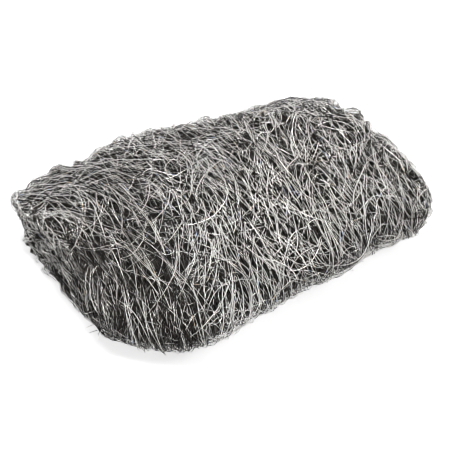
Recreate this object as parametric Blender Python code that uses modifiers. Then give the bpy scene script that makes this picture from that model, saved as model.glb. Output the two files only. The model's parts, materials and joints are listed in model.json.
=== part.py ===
"""Rolled steel wool pad: one soft ribbon of steel wool wound flat into a roll.

The ribbon is laid out flat, given its thickness and rounded edges, wound up from
its inner end, and then pressed into the uneven shape of a soft roll that lies on
a table. +X runs along the roll, +Y points to its back and +Z points up.
"""

import math

import bmesh
import bpy
from mathutils import Vector, noise

# The ribbon, in metres
RIBBON_WIDTH = 0.103
RIBBON_THICKNESS = 0.0048
TORN_THICKNESS = 0.0014
EDGE_ROUNDING = 0.0010

# The winding
TURNS = 2.4
TURN_GAP = 0.0004
CORE_WIDTH = 0.050
CORE_GAP = 0.0014
TAIL_ANGLE = math.radians(318)
LOWEST_ANGLE = math.radians(270)
TORN_TURN = 0.13
RAMP_TURN = 0.07
BLUNTNESS = 0.8
EVEN_STEPS = 0.2

# The soft shape, from the left end of the roll to its right end: how much wider and
# how much higher the winding is pressed at each station, and how far it sways back
SPREAD = (1.04, 1.17, 1.17, 1.11, 1.00, 0.93, 0.89)
PRESS = (0.79, 0.87, 1.00, 1.08, 1.11, 1.19, 1.24)
SWAY = (0.0054, 0.0009, 0.0017, 0.0023, -0.0010, -0.0004, -0.0031)
UNDERSIDE = 0.86
LEFT_CLOSING = 0.16
RIGHT_CLOSING = 0.08
CLOSING_LENGTH = 0.010
END_RECESS = 0.0040
EDGE_WANDER = 0.0010
WANDERS_PER_TURN = 3
SETTLING = 0.0009

# Lumps as broad as a fingertip, and the finer ridges that follow the winding
LUMP_SIZE = 0.011
LUMP_HEIGHT = 0.0016
RIDGE_WIDTH = 0.006
RIDGE_LENGTH = 0.030
RIDGE_HEIGHT = 0.0007
UNDERSIDE_LUMPS = 0.3
UNDERSIDE_REACH = 0.7

# The tufts in the outermost turn's skin, sunk so that the roll grows no thicker
TUFT_SIZE = 0.0058
TUFT_HEIGHT = 0.0024
TUFT_SINKING = 0.2
TUFT_RAMP = 0.08

# The mesh, whose rows crowd towards the outer turn, where they show
STEPS_PER_TURN = 36
STEPS_ALONG = 31
ROW_CROWDING = 0.7

STEEL_COLOUR = (0.30, 0.295, 0.285, 1.0)


def clear_scene():
    for old in list(bpy.data.objects):
        bpy.data.objects.remove(old, do_unlink=True)


def new_collection(name):
    collection = bpy.data.collections.new(name)
    bpy.context.scene.collection.children.link(collection)
    return collection


def steel_wool():
    material = bpy.data.materials.new("steel wool")
    material.use_nodes = True
    shader = material.node_tree.nodes["Principled BSDF"]
    shader.inputs["Base Color"].default_value = STEEL_COLOUR
    shader.inputs["Metallic"].default_value = 0.9
    shader.inputs["Roughness"].default_value = 0.5
    return material


def ease(share):
    """A smooth step from 0 to 1."""
    share = min(max(share, 0.0), 1.0)
    return share * share * (3 - 2 * share)


def along(values, share):
    """A smooth curve through evenly spaced values, read at a share of its length."""
    place = min(max(share, 0.0), 1.0) * (len(values) - 1)
    first = min(int(place), len(values) - 2)
    step = place - first
    before, start, end, after = (
        values[min(max(first + i, 0), len(values) - 1)] for i in (-1, 0, 1, 2)
    )
    slope_in = (end - before) / 2
    slope_out = (after - start) / 2
    rise = end - start
    return (
        start
        + step * slope_in
        + step**2 * (3 * rise - 2 * slope_in - slope_out)
        + step**3 * (slope_in + slope_out - 2 * rise)
    )


def signed_power(value, power):
    return math.copysign(abs(value) ** power, value)


def thickness_at(turn):
    """The ribbon's thickness, which thins out to its two torn ends."""
    full = ease(turn / TORN_TURN) * ease((TURNS - turn) / TORN_TURN)
    return TORN_THICKNESS + (RIBBON_THICKNESS - TORN_THICKNESS) * full


def room_taken(turn):
    """The room that the ribbon takes under the turn outside it."""
    if turn >= 0:
        return thickness_at(turn) + TURN_GAP
    return (TORN_THICKNESS + TURN_GAP) * (1 - ease(-turn / RAMP_TURN))


def height_of_stack(turn):
    """The distance from the core's middle to the underside of the ribbon."""
    height = CORE_GAP / 2
    below = turn - 1
    while below > -RAMP_TURN:
        height += room_taken(below)
        below -= 1
    return height


def winding_angle(turn):
    angle = TAIL_ANGLE + (turn - TURNS) * math.tau
    return angle + EVEN_STEPS * math.sin(2 * angle)


def seat_radius():
    """How far below the core's middle the roll lies on its outermost turn."""
    lowest_turn = TURNS - (TAIL_ANGLE - LOWEST_ANGLE) / math.tau
    return height_of_stack(lowest_turn) + thickness_at(lowest_turn)


def on_section(angle, radius):
    """A point at a distance outside the flat core, across the roll."""
    return (
        (CORE_WIDTH / 2 + radius) * signed_power(math.cos(angle), BLUNTNESS),
        radius * signed_power(math.sin(angle), BLUNTNESS),
    )


def lump_height(x, across, up):
    lumps = noise.noise(Vector((x, across, up)) / LUMP_SIZE)
    ridges = noise.noise(
        Vector((x / RIDGE_WIDTH, across / RIDGE_LENGTH, up / RIDGE_LENGTH))
    )
    return lumps * LUMP_HEIGHT + ridges * RIDGE_HEIGHT


def tuft_height(x, across, up):
    tufts = noise.noise(Vector((x, across, up)) / TUFT_SIZE)
    return (tufts - TUFT_SINKING) * TUFT_HEIGHT


def skin_share(turn, depth_share):
    """How fully a point is in the outermost turn's skin, where the tufts are."""
    return ease((turn - TURNS + 1) / TUFT_RAMP) * depth_share


def bumped(x, angle, radius, outer_radius, skin):
    """Across and up in the winding, with the lumps of the turns outside felt inside."""
    across, up = on_section(angle, radius)
    skin_across, skin_up = on_section(angle, outer_radius)
    under = ease(-math.sin(angle) / UNDERSIDE_REACH)
    bump = lump_height(x, skin_across, skin_up) * radius / outer_radius
    bump += tuft_height(x, skin_across, skin_up) * skin
    bump *= 1 + (UNDERSIDE_LUMPS - 1) * under
    return across + bump * math.cos(angle), up + bump * math.sin(angle)


def closing_at(x):
    """How far the turns draw in towards the roll's rounded ends."""
    from_end = min((RIBBON_WIDTH / 2 - abs(x)) / CLOSING_LENGTH, 1.0)
    most = LEFT_CLOSING if x < 0 else RIGHT_CLOSING
    return 1 - most * (1 - math.sin(from_end * math.pi / 2))


def pressed(x, across, up, outer_radius):
    """A point of the even winding where the soft roll holds it, above its seat."""
    share = x / RIBBON_WIDTH + 0.5
    press = along(PRESS, share)
    across *= along(SPREAD, share) * closing_at(x)
    up *= press * closing_at(x)
    if up < 0:
        up *= UNDERSIDE
    core_height = outer_radius * UNDERSIDE * press - SETTLING
    return across + along(SWAY, share), max(core_height + up, 0)


def along_roll(x, turn):
    """The place along the roll: inner turns lie inside its ends, and edges wander."""
    to_end = x / (RIBBON_WIDTH / 2)
    edge_row = Vector((turn * WANDERS_PER_TURN, math.copysign(WANDERS_PER_TURN, x), 0))
    wander = EDGE_WANDER * noise.noise(edge_row)
    return x + to_end * (wander - END_RECESS * (1 - turn / TURNS))


def wound(flat, ribbon_length, outer_radius):
    """Where a point of the flat ribbon lies in the finished roll."""
    turn = TURNS * max(flat.y / ribbon_length + 0.5, 0) ** ROW_CROWDING
    depth_share = flat.z / RIBBON_THICKNESS * thickness_at(turn) / RIBBON_THICKNESS
    radius = height_of_stack(turn) + depth_share * RIBBON_THICKNESS
    angle = winding_angle(turn)
    skin = skin_share(turn, depth_share)
    across, up = bumped(flat.x, angle, radius, outer_radius, skin)
    across, height = pressed(flat.x, across, up, outer_radius)
    return Vector((along_roll(flat.x, turn), across, height))


def flat_ribbon(collection, length):
    """The ribbon before it is wound, its inner end at -Y and its underside at 0."""
    bpy.ops.mesh.primitive_grid_add(
        x_subdivisions=STEPS_ALONG,
        y_subdivisions=round(STEPS_PER_TURN * TURNS),
        size=1,
    )
    ribbon = bpy.context.object
    ribbon.name = "steel_wool_roll"
    ribbon.data.name = ribbon.name
    for holder in list(ribbon.users_collection):
        holder.objects.unlink(ribbon)
    collection.objects.link(ribbon)
    ribbon.scale = (RIBBON_WIDTH, length, 1)
    bpy.ops.object.transform_apply(location=False, rotation=False, scale=True)

    solidify = ribbon.modifiers.new("thickness", "SOLIDIFY")
    solidify.thickness = RIBBON_THICKNESS
    solidify.offset = 1
    bevel = ribbon.modifiers.new("soft edges", "BEVEL")
    bevel.width = EDGE_ROUNDING
    bevel.segments = 1
    bevel.limit_method = "ANGLE"
    for modifier in list(ribbon.modifiers):
        bpy.ops.object.modifier_apply(modifier=modifier.name)
    return ribbon


def wind_up(ribbon, length):
    """The flat ribbon's points moved to where they lie in the roll."""
    outer_radius = seat_radius()
    mesh = bmesh.new()
    mesh.from_mesh(ribbon.data)
    for vertex in mesh.verts:
        vertex.co = wound(vertex.co, length, outer_radius)

    middle = [
        (min(v.co[axis] for v in mesh.verts) + max(v.co[axis] for v in mesh.verts)) / 2
        for axis in (0, 1)
    ]
    bmesh.ops.translate(mesh, verts=mesh.verts, vec=(-middle[0], -middle[1], 0))
    bmesh.ops.recalc_face_normals(mesh, faces=mesh.faces)
    mesh.to_mesh(ribbon.data)
    mesh.free()


clear_scene()
pad_collection = new_collection("Rolled steel wool pad")
turn_length = 2 * CORE_WIDTH + math.pi * TURNS * (RIBBON_THICKNESS + TURN_GAP)
ribbon_length = TURNS * turn_length
steel_wool_roll = flat_ribbon(pad_collection, ribbon_length)
wind_up(steel_wool_roll, ribbon_length)
steel_wool_roll.data.materials.append(steel_wool())
steel_wool_roll.data.shade_smooth()
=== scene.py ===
"""Rolled steel wool pad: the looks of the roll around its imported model.

The wool is built as on the real roll: a matted body that follows the wound ribbon,
and over it several layers of single steel strands, each laid over the roll's surface
with its own lean, curl and height. All lengths are in metres.
"""

import json
import math

import bpy
import numpy as np
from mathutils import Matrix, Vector, noise
from mathutils.bvhtree import BVHTree

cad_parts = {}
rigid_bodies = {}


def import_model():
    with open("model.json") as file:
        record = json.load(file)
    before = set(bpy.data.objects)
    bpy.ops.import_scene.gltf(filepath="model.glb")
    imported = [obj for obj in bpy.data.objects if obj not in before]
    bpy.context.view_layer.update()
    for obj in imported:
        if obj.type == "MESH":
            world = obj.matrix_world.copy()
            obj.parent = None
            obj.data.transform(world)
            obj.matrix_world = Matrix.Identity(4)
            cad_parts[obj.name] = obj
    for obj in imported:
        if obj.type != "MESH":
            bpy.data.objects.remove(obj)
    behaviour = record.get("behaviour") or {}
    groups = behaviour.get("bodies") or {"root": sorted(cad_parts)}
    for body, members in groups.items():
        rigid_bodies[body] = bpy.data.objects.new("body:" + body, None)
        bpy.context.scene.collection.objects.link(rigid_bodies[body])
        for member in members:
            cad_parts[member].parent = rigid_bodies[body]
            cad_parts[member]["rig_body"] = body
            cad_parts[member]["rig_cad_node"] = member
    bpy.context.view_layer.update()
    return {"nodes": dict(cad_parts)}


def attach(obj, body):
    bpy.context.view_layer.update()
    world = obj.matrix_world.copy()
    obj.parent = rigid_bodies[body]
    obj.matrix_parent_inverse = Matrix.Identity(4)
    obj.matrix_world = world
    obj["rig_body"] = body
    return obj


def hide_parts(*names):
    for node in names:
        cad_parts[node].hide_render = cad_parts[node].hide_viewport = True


NODE = "steel_wool_roll"
SEED = 11

# The camera, fitted to the photo's outline, with its angles in degrees
CAMERA_AZIMUTH = -32
CAMERA_ELEVATION = 36
CAMERA_DISTANCE = 0.380
CAMERA_TARGET = Vector((0, 0, 0.012))
CAMERA_LENS = 103.1
CAMERA_SENSOR = 36
CAMERA_SHIFT = (0.0053, -0.0311)
CAMERA_NEAREST = 0.01
FILTER_WIDTH = 1.0

# The lamps: the power, the azimuth and the elevation of each, the angles in degrees
LAMPS = {
    "key": (2.1, 150, 58),
    "top": (3.3, 0, 82),
    "front": (2.0, 35, 42),
}
LAMP_SIZE = 0.25
LAMP_DISTANCE = 0.9
WORLD_LIGHT = 0.25

# The table: its lightness where it throws light on the roll and where it is seen, and
# its own glow where it is seen
FLOOR_SIZE = 4
FLOOR_LIT = (0.35, 0.35, 0.35)
FLOOR_SEEN = (0.85, 0.85, 0.85)
FLOOR_GLOW = 0.70
FLOOR_ROUGHNESS = 0.6
FLOOR_SHINE = 0.2

# The flat core that the ribbon is wound round, seen from an end
CORE_HALF_WIDTH = 0.024
CORE_HEIGHT = 0.0125

# The matted body under the strands, and the smooth guide that the strands follow
MERGED = 1e-5
SMOOTHING = 2
SMOOTHING_SHARE = 0.5
MAT_SINK = 0.0014
TUFT_SIZE = 0.0030
TUFT_HEIGHT = 0.0010
TUFT_DETAIL = 2

# Which faces lie in the gaps between turns: a ray that starts just off the face meets
# another turn within the reach, and the face lies deeper than this in from the ends
GAP_REACH = 0.004
GAP_DEPTH = 0.007
GAP_START = 2e-5

# The lumps that make the roll's rims craggy
LUMP_SIZE = 0.0036
LUMP_HEIGHT = 0.0036
LUMPS_ELSEWHERE = 0.25
RIM_MAT_SINK = 0.0010

# The mat's steel, from its fine grey lines to the painted shade between them, which is
# lighter at the left end: the turn in degrees, size and width of each set of lines
MAT_METALLIC = 0.7
MAT_ROUGHNESS = 0.5
MAT_LINES = (
    (4, 0.0010, 0.035),
    (-16, 0.0012, 0.030),
    (24, 0.0011, 0.030),
    (48, 0.0016, 0.022),
    (-42, 0.0017, 0.022),
)
MAT_LINE_COLOUR = (0.120, 0.106, 0.098)
MAT_PAINTED_SHADE = (0.003, 0.0025, 0.0025)
MAT_PAINTED_SHADE_LEFT = (0.030, 0.025, 0.023)
MAT_LEFT = (-0.030, -0.046)
MAT_RELIEF = 0.0004
LINE_STRETCH = 0.07
LINE_DETAIL = 1.5
LINE_WAVER = 0.4
MIDDLE_OF_NOISE = 0.5

# The tones of the strands, dark to bright, the two dark ones painted shade for strands that
# lie deep or in shadow, then the faint tints of a few short stretches: the colour, roughness
# and metallic share of each
FIRST_BRIGHT = 2
FIRST_TINT = 4
TINTED_SHARE = 0.015
TONES = {
    "painted shade steel strand": ((0.030, 0.027, 0.025), 0.50, 1.0),
    "grey steel strand": ((0.22, 0.21, 0.20), 0.42, 1.0),
    "light steel strand": ((0.98, 0.96, 0.94), 0.36, 0.25),
    "bright steel strand": ((0.98, 0.97, 0.95), 0.26, 1.0),
    "straw steel strand": ((0.95, 0.78, 0.60), 0.34, 0.5),
    "blued steel strand": ((0.60, 0.68, 0.90), 0.34, 0.5),
}
ROUGHNESS_CHANGE = (-0.14, 0.06)
ROUGHNESS_SCALE = 700

# How the strands run on the side that the camera sees, in degrees down from the
# picture's right: in the middle, and the change for each metre to the right, up, both
# together, and right twice
FLOW_MIDDLE = 62
FLOW_RIGHT = 420
FLOW_UP = -610
FLOW_BOTH = 30000
FLOW_RIGHT_TWICE = -9800
FLOW_LEAST = 0
FLOW_MOST = 110
FLOW_SEEN = (0.05, 0.35)

# Where the left end opens up, and only long combed strands lie over the mat's painted shade
OPEN_ALONG = (-0.014, -0.034)
OPEN_ACROSS = (0.020, 0.008)
OPEN_DENSITY = 0.08
OPEN_LEAST_UP = -0.3

# The dark hollow in the left end, which most layers leave bare, so that the painted shade
# under them shows
HOLLOW_PLACE = (-0.050, 0.0085, 0.0105)
HOLLOW_REACH = 0.0045
HOLLOW_EDGE = 0.001

# The rims where the wool stands up in knots, each from its start to where it is full
RIM_BACK = (0.022, 0.034)
RIM_RIGHT = (0.040, 0.049)
RIM_LEFT = (-0.038, -0.047)
RIM_LEFT_BACK = (0.002, 0.012)
RIM_LEAST_UP = -0.6

# The roll's own shade, painted into its strands as the darkest tone: along its foot, and on
# the dark lobe at its lower left
SHADE_FOOT = (0.0085, 0.0055)
LOBE_ALONG = (-0.034, -0.041)
LOBE_ACROSS = (-0.014, -0.021)
LOBE_HEIGHT = (0.014, 0.010)
PAINTED_SHADE_SHARE = 0.92

# The sparse underside, the right side, and the faces that look along the roll
UNDER_LEAST_DOWN = -0.5
UNDER_HEIGHT = 0.004
UNDER_DENSITY = 0.2
RIGHT_SIDE = (-0.005, 0.010)
END_LEAST_ALONG = 0.45

# How strands lie: how far the next point is at most from the surface, how much lower
# they lie at the roll's edges, how often they rise and fall, how sharply their tips
# drop, and how much their bend changes on the way. Bends are given by the millimetre.
NEAR = 0.002
LOWERED = 0.45
WAVES = (0.5, 1.3)
TIP_DROP = 4
CURL_CHANGE = 0.6
MILLIMETRES = 1000

# How strands are shaped: their flat section, their thinner tips and their slight twist
SECTION_CORNERS = 3
SECTION_BREADTH = 1.15
SECTION_DEPTH = 0.58
TIP_THICKNESS = 0.35
TIP_TAPER = 3
TWIST = 1.4
TWIST_SHARE = 0.3
STRAND_MERGED = 1e-7

# How evenly the strands are laid
CROWD_CELL = 0.0010
CROWD_MARGIN = 0.004
CROWD_STEPS = 6
CROWD_BLURS = 2
ROUNDS = 12
SEED_TRIES = 8
PATH_TRIES = 3

# The knots of curled strands along the rims
KNOTS = 120
KNOT_STRANDS = 12
KNOT_POINTS = 9
KNOT_SPREAD = 0.0007
KNOT_RADIUS = (0.0005, 0.0014)
KNOT_TURN = (2.0, 5.0)
KNOT_THICKNESS = (0.00014, 0.00020)
KNOT_TONES = (0.3, 0.1, 0.1, 0.5)

# Where ends stick out: the place, the way they point, how many, how long, how spread
FRAYS = (
    ((-0.0490, -0.0150, 0.0060), (-0.9, 0.10, 0.25), 7, 0.0065, 0.0005),
    ((-0.0490, -0.0190, 0.0045), (-1.0, -0.10, 0.10), 7, 0.0070, 0.0005),
    ((-0.0465, -0.0320, 0.0040), (0.2, -0.9, -0.2), 16, 0.0035, 0.0008),
    ((-0.0430, -0.0355, 0.0030), (0.4, -0.9, -0.1), 16, 0.0035, 0.0009),
    ((0.0180, -0.0380, 0.0080), (0.3, -0.9, -0.4), 3, 0.0035, 0.0006),
    ((0.0290, -0.0360, 0.0080), (0.5, -0.8, -0.3), 4, 0.0035, 0.0008),
)
FRAY_POINTS = 8
FRAY_SPREAD = 0.22
FRAY_BEND = 0.15
FRAY_LENGTHS = (0.5, 1.0)
FRAY_THICKNESS = (0.00018, 0.00026)
FRAY_TONES = (0.35, 0.25, 0.1, 0.3)

# Small amounts that keep a division from having zero under it
LEAST_AREA = 1e-15
LEAST_AREA_SQUARED = 1e-24
LEAST_LENGTH = 1e-12
LEAST_WEIGHT = 1e-6


def select_only(piece):
    bpy.ops.object.select_all(action="DESELECT")
    piece.select_set(True)
    bpy.context.view_layer.objects.active = piece


def unit(vectors):
    return vectors / np.maximum(np.linalg.norm(vectors, axis=-1, keepdims=True), LEAST_LENGTH)


def ease(values, start, end):
    """A smooth step from 0 at start to 1 at end."""
    share = np.clip((values - start) / (end - start), 0, 1)
    return share * share * (3 - 2 * share)


def towards(azimuth, elevation):
    """The direction at an azimuth, counted from the front, and an elevation, in degrees."""
    turn, rise = math.radians(azimuth), math.radians(elevation)
    return math.sin(turn) * math.cos(rise), -math.cos(turn) * math.cos(rise), math.sin(rise)


def camera_axes():
    """The camera's right, up and back directions."""
    turn = math.radians(CAMERA_AZIMUTH)
    right = np.array([math.cos(turn), math.sin(turn), 0])
    back = np.array(towards(CAMERA_AZIMUTH, CAMERA_ELEVATION))
    return right, np.cross(back, right), back


def new_nodes(name):
    material = bpy.data.materials.new(name)
    material.use_nodes = True
    return material, material.node_tree.nodes, material.node_tree.links


def math_node(nodes, links, operation, first, second=None):
    node = nodes.new("ShaderNodeMath")
    node.operation = operation
    for socket, value in zip(node.inputs, (first, second)):
        if value is None:
            continue
        if isinstance(value, (int, float)):
            socket.default_value = value
        else:
            links.new(value, socket)
    return node.outputs[0]


def map_range(nodes, links, value, before, after, smooth=False):
    """A value carried from the range before to the range after."""
    node = nodes.new("ShaderNodeMapRange")
    if smooth:
        node.interpolation_type = "SMOOTHSTEP"
    links.new(value, node.inputs["Value"])
    names = ("From Min", "From Max", "To Min", "To Max")
    for name, limit in zip(names, (*before, *after)):
        node.inputs[name].default_value = limit
    return node.outputs["Result"]


def colour_mix(nodes, links, factor, first, second):
    """A blend from the first colour, or colour socket, at 0 to the second at 1."""
    mix = nodes.new("ShaderNodeMix")
    mix.data_type = "RGBA"
    links.new(factor, mix.inputs["Factor"])
    for name, colour in (("A", first), ("B", second)):
        if isinstance(colour, tuple):
            mix.inputs[name].default_value = (*colour, 1)
        else:
            links.new(colour, mix.inputs[name])
    return mix.outputs["Result"]


def strand_lines(nodes, links, place, turn, size, width):
    """Thin wavering lines that run along the winding, 1 on a line and 0 beside it."""
    mapping = nodes.new("ShaderNodeMapping")
    mapping.inputs["Rotation"].default_value = (0, math.radians(turn) / 2, math.radians(turn))
    stretched = LINE_STRETCH / size
    mapping.inputs["Scale"].default_value = (1 / size, stretched, stretched)
    links.new(place, mapping.inputs["Vector"])
    texture = nodes.new("ShaderNodeTexNoise")
    texture.inputs["Scale"].default_value = 1.0
    texture.inputs["Detail"].default_value = LINE_DETAIL
    texture.inputs["Distortion"].default_value = LINE_WAVER
    links.new(mapping.outputs[0], texture.inputs["Vector"])
    from_middle = math_node(nodes, links, "SUBTRACT", texture.outputs["Fac"], MIDDLE_OF_NOISE)
    away = math_node(nodes, links, "ABSOLUTE", from_middle)
    return map_range(nodes, links, away, (0, width), (1, 0), smooth=True)


def matted_wool():
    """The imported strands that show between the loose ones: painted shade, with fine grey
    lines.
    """
    material, nodes, links = new_nodes("matted steel wool")
    shader = nodes["Principled BSDF"]
    shader.inputs["Metallic"].default_value = MAT_METALLIC
    shader.inputs["Roughness"].default_value = MAT_ROUGHNESS
    place = nodes.new("ShaderNodeTexCoord").outputs["Object"]
    lines = None
    for turn, size, width in MAT_LINES:
        layer = strand_lines(nodes, links, place, turn, size, width)
        lines = layer if lines is None else math_node(nodes, links, "MAXIMUM", lines, layer)
    along = nodes.new("ShaderNodeSeparateXYZ")
    links.new(place, along.inputs[0])
    left = map_range(nodes, links, along.outputs["X"], MAT_LEFT, (0, 1))
    # The painted shade between the lines, lighter at the left end
    between = colour_mix(nodes, links, left, MAT_PAINTED_SHADE, MAT_PAINTED_SHADE_LEFT)
    colour = colour_mix(nodes, links, lines, between, MAT_LINE_COLOUR)
    links.new(colour, shader.inputs["Base Color"])
    bump = nodes.new("ShaderNodeBump")
    bump.inputs["Strength"].default_value = 1.0
    bump.inputs["Distance"].default_value = MAT_RELIEF
    links.new(lines, bump.inputs["Height"])
    links.new(bump.outputs["Normal"], shader.inputs["Normal"])
    return material


def strand_steel(name, colour, roughness, metallic):
    """Shaved steel in one tone, with its roughness changing along each strand."""
    material, nodes, links = new_nodes(name)
    shader = nodes["Principled BSDF"]
    shader.inputs["Base Color"].default_value = (*colour, 1)
    shader.inputs["Metallic"].default_value = metallic
    texture = nodes.new("ShaderNodeTexNoise")
    texture.inputs["Scale"].default_value = ROUGHNESS_SCALE
    texture.inputs["Detail"].default_value = 1
    links.new(nodes.new("ShaderNodeTexCoord").outputs["Object"], texture.inputs["Vector"])
    limits = tuple(roughness + change for change in ROUGHNESS_CHANGE)
    changing = map_range(nodes, links, texture.outputs["Fac"], (0, 1), limits)
    links.new(changing, shader.inputs["Roughness"])
    return material


def finer_copy(node, name):
    """A copy of the wound ribbon, divided once and softened."""
    select_only(node)
    bpy.ops.object.duplicate()
    piece = bpy.context.object
    piece.name = name
    piece.data.name = name
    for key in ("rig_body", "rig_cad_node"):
        del piece[key]
    piece.parent = None
    bpy.ops.object.mode_set(mode="EDIT")
    bpy.ops.mesh.select_all(action="SELECT")
    bpy.ops.mesh.remove_doubles(threshold=MERGED)
    bpy.ops.mesh.tris_convert_to_quads()
    bpy.ops.object.mode_set(mode="OBJECT")
    finer = piece.modifiers.new("finer", "SUBSURF")
    finer.levels = 1
    finer.render_levels = 1
    bpy.ops.object.modifier_apply(modifier=finer.name)
    smooth = piece.modifiers.new("smooth", "SMOOTH")
    smooth.factor = SMOOTHING_SHARE
    smooth.iterations = SMOOTHING
    bpy.ops.object.modifier_apply(modifier=smooth.name)
    return piece


def raise_lumps(piece, lift):
    """Lumps raised all over, most along the rims, and the roll's edges lifted as well."""
    vertices = piece.data.vertices
    points = np.array([vertex.co for vertex in vertices])
    normals = np.array([vertex.normal for vertex in vertices])
    rims = at_rims(points, normals)
    edges = at_edges(points, normals)
    for vertex, normal, rim, edge in zip(vertices, normals, rims, edges):
        share = LUMPS_ELSEWHERE + (1 - LUMPS_ELSEWHERE) * rim
        rise = noise.noise(vertex.co / LUMP_SIZE) * LUMP_HEIGHT * share + lift * edge
        vertex.co += Vector(normal) * rise
        vertex.co.z = max(vertex.co.z, 0)


def smooth_guide(node):
    """The wound ribbon with its lumps but no small tufts, for strands to run over."""
    guide = finer_copy(node, "strand_guide")
    raise_lumps(guide, 0)
    return guide


def wool_body(node):
    """The matted body: the wound ribbon, drawn in a little and raised into small tufts."""
    body = finer_copy(node, "matted_body")
    tufts = bpy.data.textures.new("tufts", "CLOUDS")
    tufts.noise_scale = TUFT_SIZE
    tufts.noise_depth = TUFT_DETAIL
    raised = body.modifiers.new("tufts", "DISPLACE")
    raised.texture = tufts
    raised.texture_coords = "LOCAL"
    raised.strength = TUFT_HEIGHT
    raised.mid_level = MIDDLE_OF_NOISE + MAT_SINK / TUFT_HEIGHT
    bpy.ops.object.modifier_apply(modifier=raised.name)
    raise_lumps(body, MAT_SINK - RIM_MAT_SINK)
    bpy.ops.object.shade_smooth()
    body.data.materials.clear()
    body.data.materials.append(matted_wool())
    return body


def threes(items, name, kind):
    """A value of three numbers of each of a mesh's items, as rows of an array."""
    values = np.empty(len(items) * 3, kind)
    items.foreach_get(name, values)
    return values.reshape(-1, 3)


class Ground:
    """The surface that strands are laid over, made from the smooth guide."""

    def __init__(self, guide):
        mesh = guide.data
        mesh.calc_loop_triangles()
        self.points = threes(mesh.vertices, "co", float)
        self.soft_normals = threes(mesh.vertices, "normal", float)
        self.corners = threes(mesh.loop_triangles, "vertices", int)
        self.tree = BVHTree.FromPolygons(self.points.tolist(), self.corners.tolist())
        first, second, third = self.corner_points(slice(None))
        crossed = np.cross(second - first, third - first)
        double = np.linalg.norm(crossed, axis=1)
        self.normals = crossed / np.maximum(double, LEAST_AREA)[:, None]
        self.areas = double / 2
        self.middles = (first + second + third) / 3
        self.half_length = abs(self.points[:, 0]).max()
        self.open = self.find_open()

    def corner_points(self, faces):
        """Where the first, second and third corner of each of some faces lie."""
        return (self.points[self.corners[faces, i]] for i in range(3))

    def find_open(self):
        """1 on faces that show, 0 on faces deep in the gaps between turns."""
        shown = np.ones(len(self.corners))
        from_end = self.half_length - abs(self.middles[:, 0])
        for i, (middle, normal) in enumerate(zip(self.middles, self.normals)):
            if from_end[i] < GAP_DEPTH:
                continue
            start = Vector(middle + normal * GAP_START)
            if self.tree.ray_cast(start, Vector(normal), GAP_REACH)[0] is not None:
                shown[i] = 0
        return shown

    def seeds(self, rng, count, weight):
        """Random places on the surface, as often as the weight says, and their weights."""
        weights = weight(self.middles, self.normals)
        chance = self.areas * self.open * weights
        faces = rng.choice(len(chance), count, p=chance / chance.sum())
        first, second, third = self.corner_points(faces)
        to_second, to_third = rng.random((2, count, 1))
        over = to_second + to_third > 1
        to_second = np.where(over, 1 - to_second, to_second)
        to_third = np.where(over, 1 - to_third, to_third)
        places = first + (second - first) * to_second + (third - first) * to_third
        return places, weights[faces]

    def nearest(self, points):
        """The nearest places on the surface, and its smoothed normals there."""
        places = np.empty_like(points)
        faces = np.empty(len(points), int)
        find = self.tree.find_nearest
        for i, point in enumerate(points):
            found = find(point, NEAR)
            if found[0] is None:
                found = find(point)
            places[i], _, faces[i], _ = found
        first, second, third = self.corner_points(faces)
        whole = np.cross(second - first, third - first)
        area = np.maximum((whole * whole).sum(1), LEAST_AREA_SQUARED)
        to_second = (np.cross(places - first, third - first) * whole).sum(1) / area
        to_third = (np.cross(second - first, places - first) * whole).sum(1) / area
        shares = np.stack([1 - to_second - to_third, to_second, to_third], axis=1)
        normals = (self.soft_normals[self.corners[faces]] * shares[:, :, None]).sum(1)
        return places, unit(normals)


def winding_direction(points, normals):
    """The way that the ribbon runs round the flat core, down the roll's front."""
    beside = np.clip(points[:, 1], -CORE_HALF_WIDTH, CORE_HALF_WIDTH)
    outward = np.zeros_like(points)
    outward[:, 1] = points[:, 1] - beside
    outward[:, 2] = points[:, 2] - CORE_HEIGHT
    along = np.cross([1.0, 0.0, 0.0], unit(outward))
    along -= normals * (along * normals).sum(1, keepdims=True)
    return unit(along)


def main_run(points, normals):
    """The way most strands run: round the winding, and drawn aside where it is seen."""
    around = winding_direction(points, normals)
    right, up, back = camera_axes()
    away = points - np.array(CAMERA_TARGET)
    to_right, to_top = away @ right, away @ up
    down = FLOW_MIDDLE + FLOW_RIGHT * to_right + FLOW_UP * to_top
    down += FLOW_BOTH * to_right * to_top + FLOW_RIGHT_TWICE * to_right**2
    down = np.radians(np.clip(down, FLOW_LEAST, FLOW_MOST))[:, None]
    drawn = unit(np.cross(normals, right * np.sin(down) + up * np.cos(down)))
    drawn *= np.where((drawn * around).sum(1) < 0, -1, 1)[:, None]
    seen = ease(normals @ back, *FLOW_SEEN)[:, None]
    return unit(around * (1 - seen) + drawn * seen)


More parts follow.
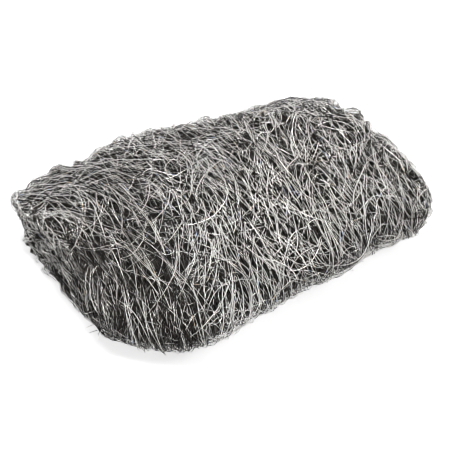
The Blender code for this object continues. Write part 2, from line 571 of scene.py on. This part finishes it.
def lay_strands(ground, rng, seeds, points, length, lean, curl, lift, wave):
    """Strands laid over the surface from their seeds, as an array of their points.

    lean is the mean and spread of their angle to the main run in degrees, curl the
    spread of their bend in radians a millimetre, lift the lowest and highest strand,
    and wave how far each one rises and falls on its way.
    """
    count = len(seeds)
    lengths = rng.uniform(*length, count)
    step = (lengths / (points - 1))[:, None]
    angle = np.radians(rng.normal(lean[0], lean[1], count))
    forward = rng.choice([-1.0, 1.0], count)
    bend = rng.normal(0, curl, count) * step[:, 0] * MILLIMETRES
    height = rng.uniform(*lift, count)
    phase = rng.uniform(0, math.tau, count)
    pace = rng.uniform(*WAVES, count)
    here = seeds
    laid = np.empty((count, points, 3))
    for i in range(points):
        here, normals = ground.nearest(here)
        along = main_run(here, normals)
        aside = np.cross(normals, along)
        way = along * np.cos(angle)[:, None] + aside * np.sin(angle)[:, None]
        share = i / (points - 1)
        rise = height + wave * np.sin(phase + math.tau * pace * share)
        rise -= wave * abs(2 * share - 1) ** TIP_DROP
        rise *= 1 - LOWERED * at_edges(here, normals)
        laid[:, i] = here + normals * rise[:, None]
        here = here + way * step * forward[:, None]
        change = rng.normal(0, curl * CURL_CHANGE, count)
        angle = angle + bend + change * step[:, 0] * MILLIMETRES
    smooth = laid.copy()
    smooth[:, 1:-1] = laid[:, 1:-1] / 2 + (laid[:, :-2] + laid[:, 2:]) / 4
    return smooth


class Crowding:
    """How much strand already lies in each small cell of space."""

    def __init__(self, ground):
        self.low = ground.points.min(axis=0) - CROWD_MARGIN
        size = ground.points.max(axis=0) + CROWD_MARGIN - self.low
        self.laid = np.zeros(np.ceil(size / CROWD_CELL).astype(int))
        self.around = self.laid

    def cells(self, points):
        """The cell that each point lies in, as an index of the grid."""
        cells = ((points - self.low) / CROWD_CELL).astype(int)
        return tuple(np.clip(cells, 0, np.array(self.laid.shape) - 1).T)

    def at(self, points):
        return self.around[self.cells(points)]

    def along(self, paths):
        points = finely(paths)
        return self.at(points.reshape(-1, 3)).reshape(points.shape[:2]).mean(axis=1)

    def add(self, paths):
        np.add.at(self.laid, self.cells(finely(paths).reshape(-1, 3)), 1)
        around = self.laid
        for axis in (0, 1, 2) * CROWD_BLURS:
            around = around / 2 + (np.roll(around, 1, axis) + np.roll(around, -1, axis)) / 4
        self.around = around


def finely(paths):
    """More points along each path, evenly between its own."""
    shares = (np.arange(CROWD_STEPS) / CROWD_STEPS)[None, None, :, None]
    starts, ends = paths[:, :-1, None], paths[:, 1:, None]
    return (starts + (ends - starts) * shares).reshape(len(paths), -1, 3)


def laid_evenly(ground, crowding, rng, count, weight, **laying):
    """Strands laid in rounds, each time where the fewest strands lie so far."""
    kept = []
    for part in np.array_split(np.arange(count), ROUNDS):
        tries, weights = ground.seeds(rng, len(part) * SEED_TRIES, weight)
        weights = np.maximum(weights, LEAST_WEIGHT)
        crowd = (crowding.at(tries) + LEAST_WEIGHT) / weights
        best = np.argsort(crowd, kind="stable")[: len(part) * PATH_TRIES]
        paths = lay_strands(ground, rng, tries[best], **laying)
        crowd = crowding.along(paths) / weights[best]
        paths = paths[np.argsort(crowd, kind="stable")[: len(part)]]
        crowding.add(paths)
        kept.append(paths)
    return np.concatenate(kept)


def strand_profile():
    """The flat three-edged section of a shaved strand, about one unit out."""
    curve = bpy.data.curves.new("strand_section", "CURVE")
    spline = curve.splines.new("POLY")
    spline.points.add(SECTION_CORNERS - 1)
    spline.use_cyclic_u = True
    for i, point in enumerate(spline.points):
        turn = math.tau * (i / SECTION_CORNERS + 1 / 4)
        point.co = (SECTION_BREADTH * math.cos(turn), SECTION_DEPTH * math.sin(turn), 0, 1)
    profile = bpy.data.objects.new("strand_section", curve)
    bpy.context.scene.collection.objects.link(profile)
    return profile


def strand_curve(name, profile, steels):
    """An empty curve for strands, whose flat sides stay up."""
    curve = bpy.data.curves.new(name, "CURVE")
    curve.dimensions = "3D"
    curve.bevel_mode = "OBJECT"
    curve.bevel_object = profile
    curve.use_fill_caps = True
    curve.twist_mode = "Z_UP"
    for steel in steels:
        curve.materials.append(steel)
    return curve


def strand_piece(name, profile, steels, batch):
    """One piece of many strands, from their points, radii, tones and twists."""
    points, radii, tones, twists = batch
    count = points.shape[1]
    share = np.linspace(0, 1, count)
    taper = np.minimum(1, TIP_THICKNESS + TIP_TAPER * np.minimum(share, 1 - share))
    padded = np.concatenate([points, np.ones((*points.shape[:2], 1))], axis=2)
    curve = strand_curve(name, profile, steels)
    for path, radius, twist in zip(padded, radii, twists):
        spline = curve.splines.new("POLY")
        spline.points.add(count - 1)
        spline.points.foreach_set("co", path.ravel())
        spline.points.foreach_set("radius", radius * taper)
        # Only a share of the twist about its mean, so that the flat side stays up
        spline.points.foreach_set("tilt", TWIST_SHARE * (twist - twist.mean()))
    piece = bpy.data.objects.new(name, curve)
    bpy.context.scene.collection.objects.link(piece)
    select_only(piece)
    bpy.ops.object.convert(target="MESH")
    piece = bpy.context.object
    # Each strand's sides come stretch by stretch, and then its two caps
    sides = np.repeat(tones, SECTION_CORNERS, axis=1)
    sides = np.concatenate([sides, tones[:, [0, -1]]], axis=1)
    piece.data.polygons.foreach_set("material_index", sides.ravel().astype(np.int32))
    bpy.ops.object.mode_set(mode="EDIT")
    bpy.ops.mesh.select_all(action="SELECT")
    bpy.ops.mesh.remove_doubles(threshold=STRAND_MERGED)
    bpy.ops.object.mode_set(mode="OBJECT")
    bpy.ops.object.shade_smooth()
    return piece


def opening(points):
    """1 in the open left end of the roll, 0 away from it."""
    return ease(points[:, 0], *OPEN_ALONG) * ease(points[:, 1], *OPEN_ACROSS)


def outside_hollow(points):
    """0 in the dark hollow of the left end, 1 away from it."""
    away = np.linalg.norm(points - np.array(HOLLOW_PLACE), axis=1)
    return ease(away, HOLLOW_REACH - HOLLOW_EDGE, HOLLOW_REACH + HOLLOW_EDGE)


def in_shade(points):
    """1 along the roll's foot and on the dark lobe at its lower left, 0 elsewhere."""
    foot = ease(points[:, 2], *SHADE_FOOT)
    lobe = ease(points[:, 0], *LOBE_ALONG) * ease(points[:, 1], *LOBE_ACROSS)
    return np.maximum(foot, lobe * ease(points[:, 2], *LOBE_HEIGHT))


def at_rims(points, normals):
    """The rims where the wool stands up in knots: the back, the right and top left."""
    back = ease(points[:, 1], *RIM_BACK)
    right = ease(points[:, 0], *RIM_RIGHT)
    top_left = ease(points[:, 0], *RIM_LEFT) * ease(points[:, 1], *RIM_LEFT_BACK)
    return np.maximum.reduce([back, right, top_left]) * (normals[:, 2] > RIM_LEAST_UP)


def at_edges(points, normals):
    """1 where the roll's outline is seen: along its rims and its shaded foot."""
    return np.maximum(at_rims(points, normals), in_shade(points))


def everywhere(points, normals):
    """More strands where the roll is seen, fewer on its underside."""
    under = (normals[:, 2] < UNDER_LEAST_DOWN) & (points[:, 2] < UNDER_HEIGHT)
    return np.where(under, UNDER_DENSITY, 1.0)


def outside_opening(points, normals):
    """As everywhere, but few strands in the open left end and none in its hollow."""
    left_open = 1 - (1 - OPEN_DENSITY) * opening(points)
    return everywhere(points, normals) * left_open * outside_hollow(points)


def on_the_right(points, normals):
    return everywhere(points, normals) * ease(points[:, 0], *RIGHT_SIDE)


def in_opening(points, normals):
    return opening(points) * (normals[:, 2] > OPEN_LEAST_UP)


def at_ends(points, normals):
    return (abs(normals[:, 0]) > END_LEAST_ALONG) * outside_hollow(points)


def keep_above_table(paths, radii):
    """The points of strands raised to where they lie on the table, if they are lower."""
    paths[:, :, 2] = np.maximum(paths[:, :, 2], radii[:, None])


def made_batch(ground, crowding, rng, count, weight, tone_share, painted_glint, thickness, **laying):
    """The points, radii, tones and twists of a layer's strands.

    tone_share is how often each plain tone comes, the first two painted shade, and glint how
    often a strand changes its tone from one point to the next, which paints glints and shade
    along it.
    """
    points = laid_evenly(ground, crowding, rng, count, weight, **laying)
    radii = rng.uniform(*thickness, count) / 2
    keep_above_table(points, radii)
    tones = rng.choice(len(tone_share), (count, points.shape[1] - 1), p=tone_share)
    changes = rng.random(tones.shape) < painted_glint
    tinted = rng.random(tones.shape) < TINTED_SHARE
    tints = rng.integers(FIRST_TINT, len(TONES), tones.shape)
    for i in range(1, tones.shape[1]):
        tones[:, i] = np.where(changes[:, i], tones[:, i], tones[:, i - 1])
    tones = np.where(tinted & (tones >= FIRST_BRIGHT), tints, tones)
    # Painted shade: along the foot and on the lower left lobe most strands take the darkest
    # tone
    shade = in_shade(points[:, :-1].reshape(-1, 3)).reshape(tones.shape)
    tones = np.where(rng.random((count, 1)) < PAINTED_SHADE_SHARE * shade, 0, tones)
    start = rng.uniform(0, math.tau, (count, 1))
    twist = rng.normal(0, TWIST, (count, 1))
    return points, radii, tones, start + np.linspace(0, 1, points.shape[1]) * twist


def plain_batch(rng, paths, thickness, tone_share):
    """The batch of strands with the given points, each in one tone and untwisted."""
    count, points = paths.shape[:2]
    radii = rng.uniform(*thickness, count) / 2
    keep_above_table(paths, radii)
    tones = rng.choice(len(tone_share), (count, 1), p=tone_share)
    return paths, radii, np.repeat(tones, points - 1, axis=1), np.zeros((count, points))


def knots(ground, rng):
    """Small knots of curled strands that make the roll's rims craggy."""
    seeds, _ = ground.seeds(rng, KNOTS, at_rims)
    middles = np.repeat(seeds, KNOT_STRANDS, axis=0)
    count = len(middles)
    middles = middles + rng.normal(0, KNOT_SPREAD, (count, 3))
    first = unit(rng.normal(0, 1, (count, 3)))
    second = unit(np.cross(first, rng.normal(0, 1, (count, 3))))
    drift = np.cross(first, second) * rng.uniform(-KNOT_SPREAD, KNOT_SPREAD, (count, 1))
    reach = rng.uniform(*KNOT_RADIUS, (count, 1))
    turn = rng.uniform(*KNOT_TURN, (count, 1))
    paths = np.empty((count, KNOT_POINTS, 3))
    for i in range(KNOT_POINTS):
        share = i / (KNOT_POINTS - 1)
        angle = turn * share
        paths[:, i] = middles + drift * share
        paths[:, i] += (first * np.cos(angle) + second * np.sin(angle)) * reach
    return plain_batch(rng, paths, KNOT_THICKNESS, KNOT_TONES)


def frayed_ends(ground, rng):
    """Tufts of short ends that stick out where the ribbon frays."""
    paths = []
    for place, way, count, length, spread in FRAYS:
        roots, _ = ground.nearest(np.array(place) + rng.normal(0, spread, (count, 3)))
        for here in roots:
            way_now = unit(np.array(way) + rng.normal(0, FRAY_SPREAD, 3))
            bend = rng.normal(0, FRAY_BEND, 3)
            step = length * rng.uniform(*FRAY_LENGTHS) / (FRAY_POINTS - 1)
            path = [here]
            for _ in range(FRAY_POINTS - 1):
                way_now = unit(way_now + bend)
                path.append(path[-1] + way_now * step)
            paths.append(path)
    return plain_batch(rng, np.array(paths), FRAY_THICKNESS, FRAY_TONES)


def seen_directly(nodes, links):
    """1 for what the camera sees itself, in a mirror or through glass, 0 for lighting."""
    path = nodes.new("ShaderNodeLightPath").outputs
    seen = math_node(nodes, links, "MAXIMUM", path["Is Camera Ray"], path["Is Glossy Ray"])
    return math_node(nodes, links, "MAXIMUM", seen, path["Is Transmission Ray"])


def make_floor():
    """A white table, which throws less light on the roll than its look would."""
    bpy.ops.mesh.primitive_plane_add(size=FLOOR_SIZE, location=(0, 0, 0))
    floor = bpy.context.object
    floor.name = "floor"
    material, nodes, links = new_nodes("white table")
    seen = seen_directly(nodes, links)
    shader = nodes["Principled BSDF"]
    colour = colour_mix(nodes, links, seen, FLOOR_LIT, FLOOR_SEEN)
    links.new(colour, shader.inputs["Base Color"])
    shader.inputs["Roughness"].default_value = FLOOR_ROUGHNESS
    shader.inputs["Specular IOR Level"].default_value = FLOOR_SHINE
    glow = nodes.new("ShaderNodeEmission")
    strength = math_node(nodes, links, "MULTIPLY", seen, FLOOR_GLOW)
    links.new(strength, glow.inputs["Strength"])
    both = nodes.new("ShaderNodeAddShader")
    links.new(shader.outputs[0], both.inputs[0])
    links.new(glow.outputs[0], both.inputs[1])
    links.new(both.outputs[0], nodes["Material Output"].inputs["Surface"])
    floor.data.materials.append(material)


def make_lamp(name, power, azimuth, elevation):
    """A square lamp that points at the roll."""
    light = bpy.data.lights.new(name, "AREA")
    light.shape = "SQUARE"
    light.size = LAMP_SIZE
    light.energy = power
    lamp = bpy.data.objects.new(name, light)
    bpy.context.scene.collection.objects.link(lamp)
    away = Vector(towards(azimuth, elevation))
    lamp.location = CAMERA_TARGET + away * LAMP_DISTANCE
    lamp.rotation_mode = "QUATERNION"
    lamp.rotation_quaternion = away.to_track_quat("Z", "Y")


def make_world():
    """A white background that lights the roll only faintly."""
    world = bpy.data.worlds.new("studio")
    world.use_nodes = True
    nodes, links = world.node_tree.nodes, world.node_tree.links
    sky = nodes["Background"]
    sky.inputs["Color"].default_value = (1, 1, 1, 1)
    seen = seen_directly(nodes, links)
    level = map_range(nodes, links, seen, (0, 1), (WORLD_LIGHT, 1))
    links.new(level, sky.inputs["Strength"])
    bpy.context.scene.world = world


def make_camera():
    camera = bpy.data.objects.new("camera", bpy.data.cameras.new("camera"))
    bpy.context.scene.collection.objects.link(camera)
    back = Vector(towards(CAMERA_AZIMUTH, CAMERA_ELEVATION))
    camera.location = CAMERA_TARGET + back * CAMERA_DISTANCE
    camera.rotation_mode = "QUATERNION"
    camera.rotation_quaternion = (-back).to_track_quat("-Z", "Y")
    camera.data.lens = CAMERA_LENS
    camera.data.sensor_width = CAMERA_SENSOR
    camera.data.shift_x, camera.data.shift_y = CAMERA_SHIFT
    camera.data.clip_start = CAMERA_NEAREST
    bpy.context.scene.camera = camera


# The layers of strands, from the inside out. The first two tone shares are the painted shade
# tones, taken by all the under strands and by most of the end strands.
LAYERS = {
    "under_strands": dict(
        count=2000, weight=everywhere, tone_share=(1, 0, 0, 0), painted_glint=0,
        thickness=(0.00018, 0.00026), points=7, length=(0.018, 0.030),
        lean=(0, 20), curl=0.015, lift=(-0.0004, 0.0002), wave=0.0003,
    ),
    "wound_strands": dict(
        count=2600, weight=outside_opening, tone_share=(0.20, 0.02, 0.46, 0.32), painted_glint=0.05,
        thickness=(0.00018, 0.00024), points=10, length=(0.020, 0.030),
        lean=(0, 8), curl=0.025, lift=(0.0002, 0.0006), wave=0.0003,
    ),
    "crossing_strands": dict(
        count=1500, weight=outside_opening, tone_share=(0.20, 0, 0.50, 0.30), painted_glint=0.05,
        thickness=(0.00019, 0.00025), points=10, length=(0.018, 0.028),
        lean=(0, 14), curl=0.045, lift=(0.0004, 0.0010), wave=0.0003,
    ),
    "wandering_strands": dict(
        count=600, weight=outside_opening, tone_share=(0.20, 0, 0.50, 0.30), painted_glint=0.05,
        thickness=(0.00020, 0.00026), points=14, length=(0.012, 0.022),
        lean=(0, 28), curl=0.12, lift=(0.0005, 0.0011), wave=0.0003,
    ),
    "curled_strands": dict(
        count=2200, weight=outside_opening, tone_share=(0.20, 0, 0.48, 0.32), painted_glint=0.05,
        thickness=(0.00017, 0.00022), points=8, length=(0.004, 0.009),
        lean=(0, 45), curl=0.30, lift=(0.0003, 0.0013), wave=0.0004,
    ),
    "bold_strands": dict(
        count=1000, weight=outside_opening, tone_share=(0, 0, 0.75, 0.25), painted_glint=0.12,
        thickness=(0.00025, 0.00032), points=16, length=(0.012, 0.028),
        lean=(0, 12), curl=0.06, lift=(0.0010, 0.0014), wave=0.0004,
    ),
    "loose_strands": dict(
        count=110, weight=on_the_right, tone_share=(0, 0, 0.6, 0.4), painted_glint=0.12,
        thickness=(0.00024, 0.00032), points=18, length=(0.010, 0.028),
        lean=(0, 30), curl=0.14, lift=(0.0010, 0.0015), wave=0.0005,
    ),
    "combed_strands": dict(
        count=230, weight=in_opening, tone_share=(0.10, 0.30, 0.35, 0.25), painted_glint=0.05,
        thickness=(0.00016, 0.00023), points=18, length=(0.030, 0.055),
        lean=(0, 8), curl=0.012, lift=(0.0006, 0.0016), wave=0.0006,
    ),
    "rim_strands": dict(
        count=2600, weight=at_rims, tone_share=(0.16, 0.08, 0.46, 0.30), painted_glint=0,
        thickness=(0.00014, 0.00019), points=7, length=(0.003, 0.006),
        lean=(0, 60), curl=0.5, lift=(0.0, 0.0008), wave=0.0004,
    ),
    "fuzz_strands": dict(
        count=900, weight=everywhere, tone_share=(0.25, 0, 0.40, 0.35), painted_glint=0,
        thickness=(0.00014, 0.00020), points=7, length=(0.0025, 0.0055),
        lean=(0, 60), curl=0.25, lift=(0.0008, 0.0016), wave=0.0006,
    ),
    "end_strands": dict(
        count=1400, weight=at_ends, tone_share=(0.36, 0.45, 0.12, 0.07), painted_glint=0.1,
        thickness=(0.00016, 0.00024), points=10, length=(0.008, 0.020),
        lean=(0, 18), curl=0.03, lift=(-0.0002, 0.0012), wave=0.0005,
    ),
}

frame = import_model()
bpy.context.scene.view_settings.view_transform = "Standard"
bpy.context.scene.cycles.filter_width = FILTER_WIDTH
make_camera()
make_world()
for name, lamp in LAMPS.items():
    make_lamp(name, *lamp)
make_floor()

body = wool_body(frame["nodes"][NODE])
guide = smooth_guide(frame["nodes"][NODE])
ground = Ground(guide)
profile = strand_profile()
steels = [strand_steel(name, *look) for name, look in TONES.items()]
rng = np.random.default_rng(SEED)

# The hidden strands and the topmost ones are spread for themselves, all others together
together = Crowding(ground)
apart = {name: Crowding(ground) for name in ("under_strands", "bold_strands")}

pieces = [body]
for name, layer in LAYERS.items():
    batch = made_batch(ground, apart.get(name, together), rng, **layer)
    pieces.append(strand_piece(name, profile, steels, batch))
pieces.append(strand_piece("frayed_ends", profile, steels, frayed_ends(ground, rng)))
pieces.append(strand_piece("knots", profile, steels, knots(ground, rng)))
bpy.data.objects.remove(profile)
bpy.data.objects.remove(guide)

for piece in pieces:
    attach(piece, "root")
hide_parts(NODE)
